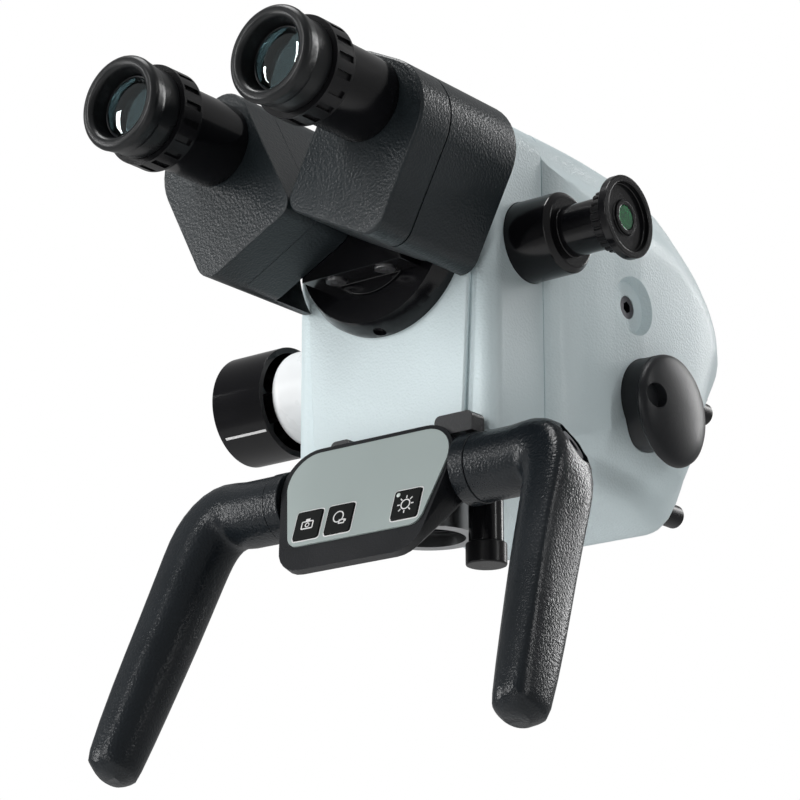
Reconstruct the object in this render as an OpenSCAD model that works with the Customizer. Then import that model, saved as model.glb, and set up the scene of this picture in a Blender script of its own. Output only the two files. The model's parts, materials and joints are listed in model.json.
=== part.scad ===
// Examination microscope head, hung on a stand arm at the tilt axis.
// +X is the side of the camera port, -Y faces the user, +Z is up, lengths in mm.

/* [Layout] */
// distance from the tilt axis forward to the optical axis
optic_forward = 65; // [60:0.5:72]
// height of the binocular mount centre
mount_height = 55.5; // [48:0.5:60]
// height of the camera port axis
port_height = 52; // [46:0.5:58]
// height of the magnification knob axis
drum_height = 9.5; // [4:0.5:14]
// distance of the grip axle forward of the tilt axis
axle_forward = 94.5; // [93:0.5:98]
// distance of the grip axle below the tilt axis
axle_drop = 44.5; // [42:0.5:50]

/* [Housing] */
// distance of the front casing face from the tilt axis
casing_forward = 89; // [88:0.5:92]
// distance of the side seam from the tilt axis
seam_forward = 55; // [50:0.5:58]
// half width of the front casing at its face
casing_half = 48.5; // [44:0.5:50]
// half width of the front casing at the seam
flare_half = 48.5; // [46:0.5:54]
// half width of the rear casing between the side shells
spine_half = 28; // [26:0.5:32]
// half width over the side shells
shell_half = 60.5; // [56:0.5:64]
// length that the casing outlines are shares of
outline_size = 100; // [95:0.5:105]
// wall thickness of the casings
wall = 4; // [2.5:0.1:5]
// height of the underside at the front face, below the tilt axis
underside_front = 27; // [24:0.5:29]
// height of the top of the casing
casing_top = 104; // [102:0.5:108]
// radius of the upright front edges
front_round = 7; // [4:0.5:8]
// radius of the top front edge
top_round = 12; // [6:0.5:16]
// radius of the top side edges
shoulder_round = 14; // [12:0.5:16]
// radius of the lower side edges
foot_round = 12; // [10:0.5:14]
// thickness of the raised front panel
panel_rise = 2.5; // [1.5:0.1:4]
// half width of the front panel at its top
panel_half_top = 41.5; // [38:0.5:43]
// half width of the front panel at its bottom
panel_half_bottom = 36.5; // [34:0.5:40]
// radius of the front panel corners
panel_round = 9; // [3:0.5:15]

/* [Binocular] */
// radius of the mounting ring at its front
ring_front_r = 36.5; // [34:0.5:38]
// radius of the mounting ring at its foot
ring_foot_r = 38.5; // [37:0.5:40]
// depth of the mounting ring
ring_depth = 10; // [8:0.5:12]
// radius of the bore through the mounting ring
ring_bore_r = 24; // [22:0.5:26]
// distance between the two eyepiece axes at rest
pupil_distance = 73; // [70:0.5:76]
// height of the eyepiece axes
eyepiece_height = 86; // [84:0.5:90]
// distance between the swivel axes of the two halves
swivel_distance = 24; // [23.5:0.1:26]
// height of the swivel axes
swivel_height = 56; // [54:0.5:58]
// radius of the swivel spigots
swivel_r = 9.3; // [8:0.1:9.5]
// gap between the front panel and the prism boxes
box_gap = 1.5; // [1:0.1:2]
// depth of the front cover of a prism box
cover_depth = 17.5; // [14:0.5:22]
// depth of the rear housing of a prism box
housing_depth = 40.5; // [37:0.5:42]
// width of a prism box across
box_width = 48.5; // [46:0.5:52]
// length of a prism box along its lean
box_length = 65.5; // [62:0.5:70]
// lean of a prism box away from upright
box_lean = 27; // [24:0.5:30]
// wall thickness of a prism box
box_wall = 3; // [2:0.1:4]
// radius of the eyepiece tube
tube_r = 16.4; // [15:0.1:17]
// length of the smooth eyepiece tube
tube_length = 29.5; // [26:0.5:34]
// radius of the ribbed ring over its ribs
rib_ring_r = 19.6; // [18.5:0.1:21]
// length of the ribbed ring
rib_ring_length = 10; // [8:0.5:13]
// radius of the eyecup rim
eyecup_r = 18.6; // [17.5:0.1:20]
// length of the eyecup
eyecup_length = 15.8; // [13:0.1:19]

/* [Magnification knob] */
// radius of the knob sleeve
knob_r = 22.7; // [21:0.1:24]
// length of the knob sleeve
knob_length = 25; // [22:0.5:28]
// radius of the white boss behind the knob
boss_r = 19.5; // [18:0.1:20]
// length of the white boss
boss_length = 21; // [20:0.5:24]
// radius of the lens drum
lens_drum_r = 18.8; // [18:0.1:19.2]
// radius of the knob shaft
shaft_r = 6; // [5:0.1:7]

/* [Camera port] */
// radius of the wide part of the port
port_r = 16; // [15:0.1:17]
// length of the wide part of the port
port_length = 23; // [20:0.5:26]
// radius of the neck
neck_r = 10; // [9:0.1:11]
// length of the neck
neck_length = 23; // [20:0.5:26]
// radius of the port flange
flange_r = 16.2; // [15:0.1:18]
// depth of the port flange
flange_depth = 3.6; // [3.2:0.1:5]
// radius of the socket in the port flange
socket_r = 13.5; // [12:0.1:14]
// depth of the socket in the port flange
socket_depth = 2.4; // [2:0.1:2.8]

/* [Tilt axis] */
// radius of the bore for the stand arm spigot
tilt_bore_r = 10; // [8:0.1:12]
// depth of the bore for the stand arm spigot
tilt_bore_depth = 84; // [70:1:84]
// outside radius of the tilt sleeve
sleeve_r = 16; // [14:0.1:17]
// radius of the friction knob collar
collar_r = 18.5; // [17:0.1:20]
// radius of the friction knob disc
disc_r = 22.7; // [21:0.1:25]
// thickness of the friction knob disc
disc_depth = 8; // [7:0.1:12]

/* [Objective and lower knob] */
// radius of the objective barrel
objective_r = 17.3; // [16:0.1:17.5]
// how far the objective ring stands below the underside
objective_reach = 20; // [18:0.5:24]
// sideways place of the lower knob
lower_knob_x = 31; // [30:0.5:33]
// distance of the lower knob forward of the tilt axis
lower_knob_forward = 70; // [68:0.5:74]
// radius of the lower knob stem
stem_r = 6.7; // [6:0.1:7]
// radius of the lower knob cap
cap_r = 7.9; // [7.2:0.1:8.2]

/* [Control unit] */
// distance of the face centre forward of the tilt axis
face_forward = 108; // [107:0.5:111]
// distance of the face centre below the tilt axis
face_drop = 51; // [49:0.5:53]
// lean of the face back from upright
face_lean = 18; // [12:1:24]
// width of the membrane at its top
membrane_top_width = 77; // [72:0.5:80]
// width of the membrane at its bottom
membrane_bottom_width = 65; // [60:0.5:70]
// height of the membrane
membrane_height = 41.5; // [39:0.5:44]
// side of a key
key_side = 12.4; // [11:0.1:13]
// travel of a key
key_travel = 0.5; // [0.3:0.1:0.8]
// radius of the grip axle
axle_r = 5; // [4:0.1:5.5]

/* [Grips] */
// forward swing of the right grip at rest
right_swing = 23.5; // [0:1:30]
// forward swing of the left grip at rest
left_swing = 22.5; // [0:1:30]
// length of a grip below the axle
grip_length = 116; // [100:1:125]
// half width of a grip
grip_half_width = 10.3; // [9:0.1:12]
// half depth of a grip
grip_half_depth = 12; // [11:0.1:13]
// radius of the arm from the collar to the elbow
arm_r = 13.2; // [12:0.1:13.4]

/* [Fits] */
// clearance where two pieces of one body meet
seat_gap = 0.2; // [0.1:0.05:0.3]
// clearance of a turning fit, on the radius
turn_gap = 0.05; // [0.02:0.01:0.1]
// clearance between the faces of moving pieces
face_gap = 0.3; // [0.2:0.05:0.5]

/* [Hidden] */
$fn = 64;
overrun = 1;

// one rounded corner as a run of points
function arc_points(cx, cy, r, from, to, steps) =
  [for (i = [0:steps]) let (a = from + (to - from) * i / steps)
    [cx + r * cos(a), cy + r * sin(a)]];
// the same half outline on the other side, in reverse order
function other_half(p) = [for (i = [len(p) - 1:-1:0]) [-p[i][0], p[i][1]]];
// a smooth run through given points
function run_point(a, b, c, d, t) =
  b + (c - a) * (t / 2) + (2 * a - 5 * b + 4 * c - d) * (t * t / 2)
  + (3 * b - a - 3 * c + d) * (t * t * t / 2);
function smooth_run(p, steps) =
  concat([for (i = [0:len(p) - 2]) for (k = [0:steps - 1])
    run_point(p[max(i - 1, 0)], p[i], p[i + 1], p[min(i + 2, len(p) - 1)], k / steps)],
    [p[len(p) - 1]]);

// side outline of the rear casing and shells, as shares of the outline size
outline_shares = [
  [-0.30, -0.37], [-0.10, -0.375], [0.10, -0.40], [0.24, -0.435], [0.35, -0.42],
  [0.45, -0.33], [0.555, -0.17], [0.65, -0.02], [0.71, 0.10], [0.81, 0.25],
  [0.885, 0.36], [0.90, 0.44], [0.875, 0.54], [0.80, 0.66], [0.70, 0.755],
  [0.56, 0.84], [0.33, 0.955], [0.10, 1.01], [-0.10, 1.03], [-0.30, 1.04]
];
underside_seam = underside_front + outline_size * 0.11;
objective_drop = underside_seam + objective_reach;
side_run = smooth_run(concat([[-seam_forward, -underside_seam]],
  outline_shares * outline_size, [[-seam_forward, casing_top]]), 2);
shell_centre = [outline_size * 0.25, outline_size * 0.33];

// stations of a side shell: place outward, then shares at the front, rear, top and bottom
shell_shares = [
  [0, 1, 1, 1, 1], [0.2, 1, 1, 1, 1], [0.4, 1, 0.9, 0.977, 0.985],
  [0.54, 1, 0.79, 0.923, 0.94], [0.63, 1, 0.715, 0.80, 0.84],
  [0.74, 0.93, 0.626, 0.73, 0.80], [0.86, 0.78, 0.526, 0.64, 0.74],
  [0.95, 0.58, 0.44, 0.54, 0.64], [1, 0.36, 0.34, 0.42, 0.5]
];
shell_stations = [for (s = smooth_run(shell_shares, 2)) [for (v = s) min(v, 1)]];
shell_rise = shell_half - spine_half;

function shell_ring(x, st, share) =
  [for (p = side_run)
    [x, shell_centre[0] + (p[0] - shell_centre[0]) * share
      * (p[0] < shell_centre[0] ? st[1] : st[2]),
      shell_centre[1] + (p[1] - shell_centre[1]) * share
      * (p[1] < shell_centre[1] ? st[4] : st[3])]];
shell_cavity_share = 1 - wall / (outline_size * 0.76);

module loft(rings) {
  m = len(rings);
  n = len(rings[0]);
  polyhedron(
    points = [for (r = rings) each r],
    faces = concat(
      [[for (i = [0:n - 1]) i]],
      [[for (i = [n - 1:-1:0]) (m - 1) * n + i]],
      [for (k = [0:m - 2]) for (i = [0:n - 1]) each
        [[k * n + i, (k + 1) * n + i, (k + 1) * n + (i + 1) % n],
         [k * n + i, (k + 1) * n + (i + 1) % n, k * n + (i + 1) % n]]]));
}
// a flat outline drawn in Y and Z, given depth along X
module along_x(from, to) {
  translate([from, 0, 0])
    rotate([90, 0, 90])
      linear_extrude(to - from) children();
}
// a flat outline drawn in X and Z, given depth along Y
module along_y(from, to) {
  translate([0, to, 0])
    rotate([90, 0, 0])
      linear_extrude(to - from) children();
}
module rod_x(r, from, to) {
  translate([from, 0, 0])
    rotate([0, 90, 0])
      cylinder(r = r, h = to - from);
}
module rod_y(r, from, to) {
  translate([0, to, 0])
    rotate([90, 0, 0])
      cylinder(r = r, h = to - from);
}
module rod_z(r, from, to) {
  translate([0, 0, from])
    cylinder(r = r, h = to - from);
}
module block(x0, x1, y0, y1, z0, z1) {
  translate([x0, y0, z0])
    cube([x1 - x0, y1 - y0, z1 - z0]);
}
module at_optic(height) {
  translate([0, -optic_forward, height]) children();
}

// front casing
module casing_form(t) {
  rear = t > 0 ? overrun : 0;
  plan_half = concat([[flare_half - t, -seam_forward + rear]],
    [for (p = arc_points(casing_half - front_round, casing_forward - front_round,
      front_round - min(t, front_round * 0.75), 0, 90, 6))
      [p[0] - max(t - front_round * 0.75, 0), -p[1] + max(t - front_round * 0.75, 0)]]);
  side = concat(
    [[-casing_forward + t, -underside_front + t],
     [-seam_forward + rear, -underside_seam + t],
     [-seam_forward + rear, casing_top - t]],
    arc_points(-casing_forward + top_round, casing_top - top_round, top_round - t, 90, 180, 8));
  face_half = concat(
    arc_points(flare_half - foot_round, -underside_seam + foot_round,
      foot_round - t, -90, 0, 6),
    arc_points(flare_half - shoulder_round, casing_top - shoulder_round,
      shoulder_round - t, 0, 90, 6));
  intersection() {
    translate([0, 0, -underside_seam - wall])
      linear_extrude(casing_top + underside_seam + wall * 2)
        polygon(concat(plan_half, other_half(plan_half)));
    along_x(-flare_half, flare_half) polygon(side);
    along_y(-casing_forward - overrun, -seam_forward + rear + overrun)
      polygon(concat(face_half, other_half(face_half)));
  }
}
seam_line = 0.6;
seat_inset = 2.6;
seat_half = flare_half - seat_inset;
port_seat_x = seat_half;
boss_seat_x = -seat_half;
bearing_room = 2;
drum_bearing_r = shaft_r + bearing_room;
boss_lip = 1;
lower_boss_reach = 14;
lower_boss_r = cap_r + boss_lip;
lower_boss_drop = underside_front + lower_boss_reach;
pin_r = stem_r * 0.45;
objective_hole_r = objective_r + seat_gap;
bracket_half = 14;
bracket_depth = 4;
bracket_rear = casing_forward - bracket_depth;
module front_casing() {
  color("gainsboro")
  difference() {
    union() {
      casing_form(0);
      translate([lower_knob_x, -lower_knob_forward, 0])
        rod_z(lower_boss_r, -lower_boss_drop, -underside_front);
    }
    difference() {
      casing_form(wall);
      translate([lower_knob_x, -lower_knob_forward, 0])
        rod_z(lower_boss_r, -lower_boss_drop, -underside_front);
    }
    translate([0, 0, mount_height])
      rod_y(ring_bore_r, -casing_forward - overrun, -casing_forward + wall + overrun);
    at_optic(port_height) {
      rod_x(port_r + seat_gap, port_seat_x, flare_half + overrun);
      rod_x(channel_r + seat_gap, 0, port_seat_x + overrun);
    }
    at_optic(drum_height) {
      rod_x(boss_r + seat_gap, -flare_half - overrun, boss_seat_x);
      rod_x(drum_bearing_r, boss_seat_x - overrun, 0);
    }
    objective_room();
    translate([lower_knob_x, -lower_knob_forward, 0])
      rod_z(pin_r + turn_gap, -lower_boss_drop - overrun, 0);
    difference() {
      block(-shell_half, shell_half, -seam_forward - seam_line, -seam_forward + overrun,
        -outline_size, outline_size * 1.2);
      casing_form(seam_line);
    }
  }
}
module objective_room() {
  at_optic(0) {
    rod_z(objective_hole_r, -outline_size, -objective_top);
    rod_z(objective_ring_r + face_gap, -outline_size, -objective_ring_top + face_gap);
  }
}
panel_top = casing_top - top_round * 1.4;
module front_panel() {
  foot = panel_round;
  half = concat(
    arc_points(panel_half_bottom - foot, -underside_front + foot, foot, -90, 0, 6),
    arc_points(panel_half_top - panel_round, panel_top - panel_round, panel_round, 0, 90, 6));
  color("gainsboro")
  difference() {
    along_y(-casing_forward - panel_rise, -casing_forward)
      polygon(concat(half, other_half(half)));
    translate([0, 0, mount_height])
      rod_y(ring_bore_r, -casing_forward - panel_rise - overrun, -casing_forward + overrun);
  }
}

// rear casing, shells and what they hold
connector_r = 5;
upper_connector_place = [20, 28];
lower_connector_place = [20, -23];
connector_hole_r = connector_r + seat_gap;
module side_outline() {
  polygon(side_run);
}
module rear_casing() {
  color("gainsboro")
  difference() {
    along_x(-spine_half, spine_half) side_outline();
    along_x(-spine_half - overrun, spine_half + overrun)
      union() {
        offset(delta = -wall) side_outline();
        translate([-seam_forward - overrun, -underside_seam + wall])
          square([wall + overrun * 2, casing_top + underside_seam - wall * 2]);
      }
    for (c = [upper_connector_place, lower_connector_place])
      translate([c[0], 0, c[1]])
        rod_y(connector_hole_r, 0, outline_size * 1.3);
    objective_room();
  }
}
recess_place = [-9, 39];
recess_r = 12.3;
recess_floor_r = 10.5;
recess_depth = 3.8;
recess_floor_x = shell_half - recess_depth;
recess_wall = 2;
recess_boss_r = recess_r + recess_wall;
screw_r = 4.6;
collar_sink = 4.5;
collar_seat_x = shell_half - collar_sink;
stud_r = 6;
module shell_cup(boss, boss_from) {
  difference() {
    loft([for (s = shell_stations) shell_ring(spine_half + shell_rise * s[0], s, 1)]);
    difference() {
      loft([for (s = shell_stations)
        shell_ring(spine_half + (shell_rise - wall) * s[0] - (s[0] == 0 ? overrun : 0),
          s, shell_cavity_share)]);
      rod_x(boss, boss_from, shell_half);
      translate([0, recess_place[0], recess_place[1]])
        rod_x(recess_boss_r, spine_half - overrun, shell_half);
    }
    translate([0, recess_place[0], recess_place[1]]) {
      rod_x(recess_floor_r, recess_floor_x, shell_half + overrun);
      translate([recess_floor_x, 0, 0])
        rotate([0, 90, 0])
          cylinder(r1 = recess_floor_r, r2 = recess_r, h = recess_depth);
      rod_x(screw_r + seat_gap, spine_half - overrun, recess_floor_x + overrun);
    }
  }
}
module right_shell() {
  color("gainsboro")
  difference() {
    shell_cup(collar_r + wall / 2, sleeve_closed + wall);
    rod_x(collar_r + seat_gap, collar_seat_x, shell_half + overrun);
    rod_x(stud_r + turn_gap, spine_half, shell_half);
    at_optic(port_height)
      rod_x(port_r + seat_gap, spine_half - overrun, shell_half);
  }
}
module left_shell() {
  color("gainsboro")
  mirror([1, 0, 0])
    difference() {
      shell_cup(sleeve_r + wall, spine_half - overrun);
      rod_x(sleeve_r + seat_gap, spine_half - overrun, shell_half + overrun);
      at_optic(drum_height)
        rod_x(boss_r + seat_gap, spine_half - overrun, shell_half);
    }
}
module shell_screws() {
  color("dimgray")
  for (side = [-1, 1])
    side_half(side)
      translate([0, recess_place[0], recess_place[1]])
        difference() {
          rod_x(screw_r, spine_half, recess_floor_x - seat_gap);
          rod_x(screw_r * 0.55, recess_floor_x - screw_r, recess_floor_x, $fn = 6);
        }
}
web_inside = 20;
web_thick = 5;
hub_half = spine_half - seat_gap;
plate_half = spine_half - seat_gap;
plate_rear = seam_forward - seat_gap - wall;
plate_front = seam_forward - seat_gap;
sleeve_hub_r = sleeve_r + wall;
lamp_height = 40;
lamp_window_r = 7;
module chassis() {
  color("darkgray")
  difference() {
    union() {
      for (side = [-1, 1])
        along_x(side * web_inside - (side < 0 ? web_thick : 0),
          side * web_inside + (side > 0 ? web_thick : 0))
          intersection() {
            offset(delta = -wall - seat_gap) side_outline();
            translate([-plate_front, -outline_size])
              square([outline_size * 2, outline_size * 2]);
          }
      rod_x(sleeve_hub_r, -hub_half, hub_half);
      block(-plate_half, plate_half, -plate_front, -plate_rear,
        -underside_seam + wall * 2, casing_top - wall * 2);
    }
    rod_x(sleeve_r + seat_gap, -hub_half - overrun, hub_half + overrun);
    translate([0, 0, lamp_height])
      rod_y(lamp_window_r, -seam_forward, -plate_rear + overrun);
    at_optic(drum_height)
      rod_x(lens_drum_r + face_gap, -tower_half - wall / 4, tower_half + wall / 4);
    at_optic(0)
      rod_z(objective_hole_r, -outline_size, -objective_top + face_gap);
  }
}
sleeve_end = -shell_half;
sleeve_closed = sleeve_end + tilt_bore_depth + wall;
module tilt_sleeve() {
  color("silver")
  difference() {
    rod_x(sleeve_r, sleeve_end, sleeve_closed);
    rod_x(tilt_bore_r, sleeve_end - overrun, sleeve_end + tilt_bore_depth);
  }
}
tower_half = 24;
tower_rise = 30;
tower_top = mount_height + tower_rise;
prism_side = 26;
channel_r = 6.5;
channel_x = swivel_distance / 2;
objective_rise = 20;
objective_top = underside_seam - objective_rise;
prism_floor = mount_height - prism_side / 2;
module optics_tower() {
  color("dimgray")
  difference() {
    intersection() {
      casing_form(wall + seat_gap);
      block(-tower_half, tower_half, -casing_forward, -plate_front,
        -underside_seam, tower_top);
    }
    at_optic(drum_height)
      rod_x(lens_drum_r + turn_gap, -tower_half - overrun, tower_half + overrun);
    at_optic(mount_height)
      block(-prism_side / 2 - seat_gap, prism_side / 2 + seat_gap,
        -prism_side / 2 - seat_gap, prism_side, -prism_side / 2, prism_side);
    at_optic(port_height)
      rod_x(channel_r, 0, tower_half + overrun);
    at_optic(0)
      rod_z(objective_hole_r, -underside_seam - wall, -objective_top);
    translate([lower_knob_x, -lower_knob_forward, 0])
      rod_z(lower_boss_r + seat_gap, -underside_seam - wall, -underside_front + seat_gap);
    for (side = [-1, 1]) {
      translate([side * channel_x, -optic_forward, 0])
        rod_z(channel_r, -underside_seam, mount_height);
      translate([side * channel_x, 0, mount_height])
        rod_y(channel_r, -casing_forward, -optic_forward);
    }
  }
}
module beam_prism() {
  color("lightcyan")
  at_optic(prism_floor)
    block(-prism_side / 2, prism_side / 2, -prism_side / 2, optic_forward - plate_front,
      0, prism_side);
}
fin_count = 6;
fin_pitch = 6;
fin_thick = 2;
sink_depth = 22;
sink_half = (fin_count * fin_pitch - fin_pitch + fin_thick) / 2;
module lamp_heatsink() {
  color("silver")
  translate([0, -plate_rear, lamp_height]) {
    block(-sink_half, sink_half, 0, wall, -sink_half, sink_half);
    rod_y(lamp_window_r - seat_gap, -wall, 0);
    for (i = [0:fin_count - 1])
      translate([-sink_half + i * fin_pitch, 0, 0])
        block(0, fin_thick, 0, sink_depth, -sink_half, sink_half);
  }
}
rear_panel_half = 26.8;
rear_panel_low = 31;
rear_panel_high = 60;
rear_panel_rise = 10;
module rear_panel() {
  color("black")
  difference() {
    along_x(-rear_panel_half, rear_panel_half)
      intersection() {
        difference() {
          offset(delta = rear_panel_rise) side_outline();
          side_outline();
        }
        translate([outline_size * 0.5, rear_panel_low])
          square([outline_size, rear_panel_high - rear_panel_low]);
      }
    translate([upper_connector_place[0], 0, upper_connector_place[1]])
      rod_y(connector_hole_r, 0, outline_size * 1.3);
  }
}
upper_connector_reach = outline_size * 1.046;
lower_connector_reach = outline_size * 0.789;
connector_length = 22;
connector_socket_r = connector_r * 0.6;
module connector(place, reach, length) {
  color("black")
  translate([place[0], 0, place[1]])
    difference() {
      rod_y(connector_r, reach - length, reach);
      rod_y(connector_socket_r, reach - wall, reach + overrun);
    }
}
module rear_connectors() {
  connector(upper_connector_place, upper_connector_reach, connector_length);
  connector(lower_connector_place, lower_connector_reach, connector_length * 1.3);
}

// binocular mount
ring_face = casing_forward + panel_rise + ring_depth;
ring_seat = casing_forward + panel_rise;
ring_screw_r = 2.4;
ring_screw_depth = 8;
ring_screw_y = -ring_seat - ring_depth * 0.42;
module mount_ring() {
  color("black")
  difference() {
    translate([0, -ring_seat, mount_height])
      rotate([90, 0, 0])
        rotate_extrude()
          polygon([[ring_bore_r, 0], [ring_foot_r, 0], [ring_foot_r, ring_depth * 0.3],
            [ring_front_r, ring_depth * 0.8], [ring_front_r - ring_depth * 0.12, ring_depth],
            [ring_bore_r, ring_depth]]);
    translate([0, ring_screw_y, mount_height])
      rod_z(ring_screw_r + seat_gap, -ring_foot_r - overrun, 0);
  }
}
module ring_screw() {
  color("dimgray")
  translate([0, ring_screw_y, mount_height])
    difference() {
      rod_z(ring_screw_r, -ring_foot_r + ring_screw_r, -ring_foot_r + ring_screw_depth);
      rod_z(ring_screw_r * 0.55, -ring_foot_r, -ring_foot_r + ring_screw_r * 2, $fn = 6);
    }
}
base_depth = 12.5;
base_face = ring_face + base_depth;
base_half = 24;
base_half_height = 18;
base_low = mount_height - base_half_height;
base_high = mount_height + base_half_height;
base_plug_r = ring_bore_r - seat_gap;
base_screw_r = 4;
base_screw_depth = 3;
base_screw_y = -ring_face - base_depth * 0.5;
module binocular_base() {
  color("black")
  difference() {
    union() {
      block(-base_half, base_half, -base_face, -ring_face, base_low, base_high);
      translate([0, 0, mount_height])
        rod_y(base_plug_r, -ring_face - overrun, -casing_forward);
    }
    for (side = [-1, 1]) {
      translate([side * channel_x, 0, swivel_height])
        rod_y(swivel_r + turn_gap, -base_face - overrun, -casing_forward + overrun);
      translate([side * channel_x, base_screw_y, 0])
        rod_z(base_screw_r + seat_gap, base_low - overrun, base_low + base_screw_depth);
    }
  }
}
module base_screws() {
  color("dimgray")
  for (side = [-1, 1])
    translate([side * channel_x, base_screw_y, base_low])
      difference() {
        rod_z(base_screw_r, -base_screw_depth * 0.2, base_screw_depth);
        rod_z(base_screw_r * 0.5, -base_screw_depth, base_screw_depth * 0.5, $fn = 6);
      }
}

// one prism box with its eyepiece, drawn for the right side
box_corner_x = -1.8;
box_corner_drop = 3.1;
box_corner_z = mount_height - box_corner_drop;
corner_low_in = 6;
corner_low_out = 8;
corner_high_out = 22;
corner_high_in = 12;
box_outline = concat(
  arc_points(corner_low_in, corner_low_in, corner_low_in, 180, 270, 6),
  arc_points(box_width - corner_low_out, corner_low_out, corner_low_out, 270, 360, 6),
  arc_points(box_width - corner_high_out, box_length - corner_high_out,
    corner_high_out, 0, 90, 10),
  arc_points(corner_high_in, box_length - corner_high_in, corner_high_in, 90, 180, 8));
module box_profile() {
  translate([box_corner_x, box_corner_z])
    rotate(-box_lean)
      polygon(box_outline);
}
housing_rear = ring_seat + box_gap;
cover_rear = housing_rear + housing_depth;
box_forward = cover_rear + cover_depth;
mount_room = 4.5;
mount_clear_r = ring_foot_r + mount_room;
eyepiece_x = pupil_distance / 2;
tube_wall = 3;
tube_bore_r = tube_r - tube_wall;
module side_half(side) {
  if (side > 0)
    children();
  else
    mirror([1, 0, 0]) children();
}
module prism_cover(side) {
  color("dimgray")
  side_half(side)
    difference() {
      along_y(-box_forward, -cover_rear) box_profile();
      along_y(-box_forward + box_wall, -cover_rear + overrun)
        offset(delta = -box_wall) box_profile();
      translate([eyepiece_x, 0, eyepiece_height])
        rod_y(tube_bore_r, -box_forward - overrun, -box_forward + box_wall + overrun);
    }
}
module prism_housing(side) {
  color("dimgray")
  side_half(side)
    difference() {
      union() {
        difference() {
          along_y(-cover_rear, -housing_rear) box_profile();
          along_y(-cover_rear - overrun, -housing_rear - box_wall)
            offset(delta = -box_wall) box_profile();
          translate([0, 0, mount_height])
            rod_y(mount_clear_r, -base_face - face_gap, -housing_rear + overrun);
        }
        intersection() {
          along_y(-base_face - face_gap - box_wall, -housing_rear) box_profile();
          translate([0, 0, mount_height])
            difference() {
              rod_y(mount_clear_r + box_wall, -base_face - face_gap - box_wall, -housing_rear);
              rod_y(mount_clear_r, -base_face - face_gap, -housing_rear + overrun);
            }
        }
        translate([channel_x, 0, swivel_height])
          rod_y(swivel_r, -base_face - face_gap - box_wall / 2, -ring_seat);
      }
      translate([channel_x, 0, swivel_height])
        rod_y(channel_r, -cover_rear - overrun, -ring_seat + overrun);
    }
}
prism_width = 30;
prism_length = 44;
prism_depth = 12;
prism_in = 8;
module prism_block(side) {
  color("lightcyan")
  side_half(side)
    translate([box_corner_x, 0, box_corner_z])
      rotate([0, box_lean, 0])
        block(prism_in, prism_in + prism_width,
          -base_face - face_gap - box_wall - prism_depth, -base_face - face_gap - box_wall,
          prism_in, prism_in + prism_length);
}
tube_end = box_forward + tube_length;
thread_depth = 1.4;
thread_short = 1;
thread_r = tube_r - thread_depth;
thread_end = tube_end + rib_ring_length - thread_short;
module eyepiece_tube(side) {
  color("black")
  side_half(side)
    translate([eyepiece_x, 0, eyepiece_height])
      difference() {
        union() {
          rod_y(tube_r, -tube_end, -box_forward);
          rod_y(thread_r, -thread_end, -tube_end + overrun);
        }
        rod_y(tube_bore_r, -thread_end - overrun, -box_forward + overrun);
      }
}
rib_count = 18;
rib_depth = 1.1;
rib_width = 2.6;
ring_start = tube_end + face_gap;
ring_end = ring_start + rib_ring_length;
module dioptre_ring(side) {
  color("black")
  side_half(side)
    translate([eyepiece_x, 0, eyepiece_height])
      difference() {
        rod_y(rib_ring_r, -ring_end, -ring_start);
        rod_y(thread_r + turn_gap, -ring_end - overrun, -ring_start + overrun);
        for (i = [0:rib_count - 1])
          rotate([0, i * 360 / rib_count, 0])
            block(rib_ring_r - rib_depth, rib_ring_r + overrun,
              -ring_end + rib_depth, -ring_start - rib_depth, -rib_width / 2, rib_width / 2);
      }
}
cup_end = ring_end + eyecup_length;
cup_lip = 1;
cup_floor_r = tube_bore_r - cup_lip;
lens_seat = 3;
rim_round = 2.6;
rim_step = 0.6;
module eyecup(side) {
  color("black")
  side_half(side)
    translate([eyepiece_x, -ring_end, eyepiece_height])
      rotate([90, 0, 0])
        rotate_extrude()
          polygon(concat(
            [[cup_floor_r, 0], [eyecup_r - rim_step * 2, 0],
             [eyecup_r - rim_step * 2, eyecup_length - rim_round * 3],
             [eyecup_r - rim_step, eyecup_length - rim_round * 2.6]],
            arc_points(eyecup_r - rim_round, eyecup_length - rim_round, rim_round, -20, 180, 12),
            [[cup_floor_r, lens_seat]]));
}
module eye_lens(side) {
  color("lightgreen")
  side_half(side)
    translate([eyepiece_x, 0, eyepiece_height])
      rod_y(cup_floor_r - seat_gap, -ring_end - lens_seat, -ring_end);
}
module right_prism_cover() {
  prism_cover(1);
}
module right_prism_housing() {
  prism_housing(1);
}
module right_prism() {
  prism_block(1);
}
module right_tube() {
  eyepiece_tube(1);
}
module right_dioptre_ring() {
  dioptre_ring(1);
}
module right_eyecup() {
  eyecup(1);
}
module right_eye_lens() {
  eye_lens(1);
}
module left_prism_cover() {
  prism_cover(-1);
}
module left_prism_housing() {
  prism_housing(-1);
}
module left_prism() {
  prism_block(-1);
}
module left_tube() {
  eyepiece_tube(-1);
}
module left_dioptre_ring() {
  dioptre_ring(-1);
}
module left_eyecup() {
  eyecup(-1);
}
module left_eye_lens() {
  eye_lens(-1);
}

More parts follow.
